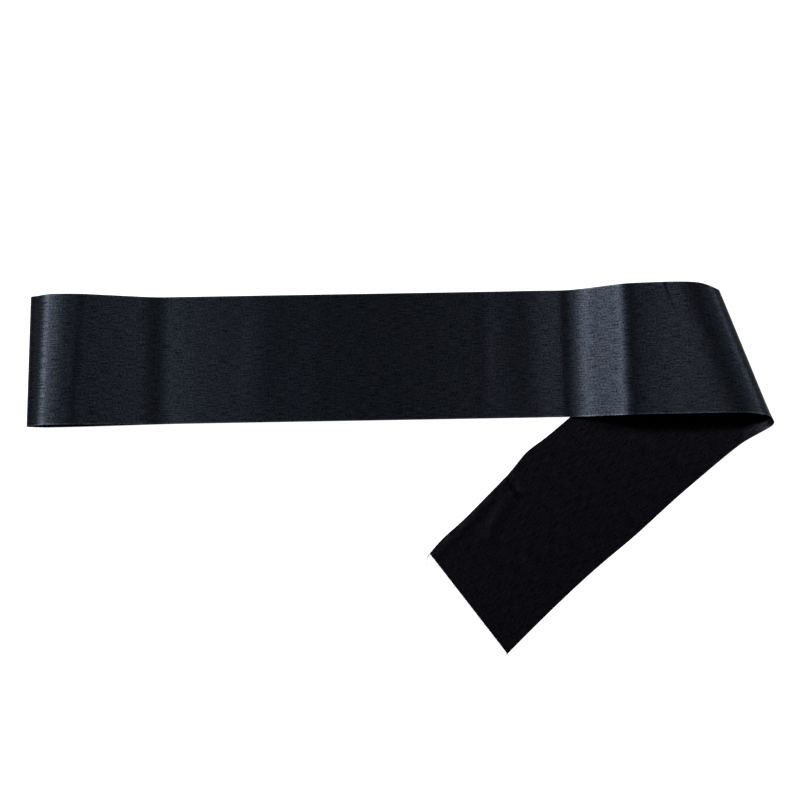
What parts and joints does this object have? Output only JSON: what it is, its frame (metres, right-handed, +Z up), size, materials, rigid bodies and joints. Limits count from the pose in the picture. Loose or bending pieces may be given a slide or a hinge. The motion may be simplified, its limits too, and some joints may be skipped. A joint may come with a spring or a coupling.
{
  "type": "satin sash",
  "caption": "Long black satin sash, one woven strip, laid flat with a low roll at one end, an open loop at the other and a slanted tail with a raw cut end.",
  "frame": {"origin": "centre of the part's box, on the surface that it lies on", "axes": "+X along the long run towards the loop, +Z up"},
  "size_m": [0.5712, 0.2791, 0.0306],
  "materials": {
    "satin_face": "black satin, warp floats along the strip, soft lustre across it",
    "satin_reverse": "dull black reverse of the satin"
  },
  "bodies": {
    "root": {"under_run": "satin_face", "left_roll": "satin_face", "top_run": "satin_face", "right_climb": "satin_face", "right_fold": "satin_face", "tail_root": "satin_reverse", "tail_middle": "satin_reverse", "tail_end": "satin_reverse"}
  },
  "joints": []
}
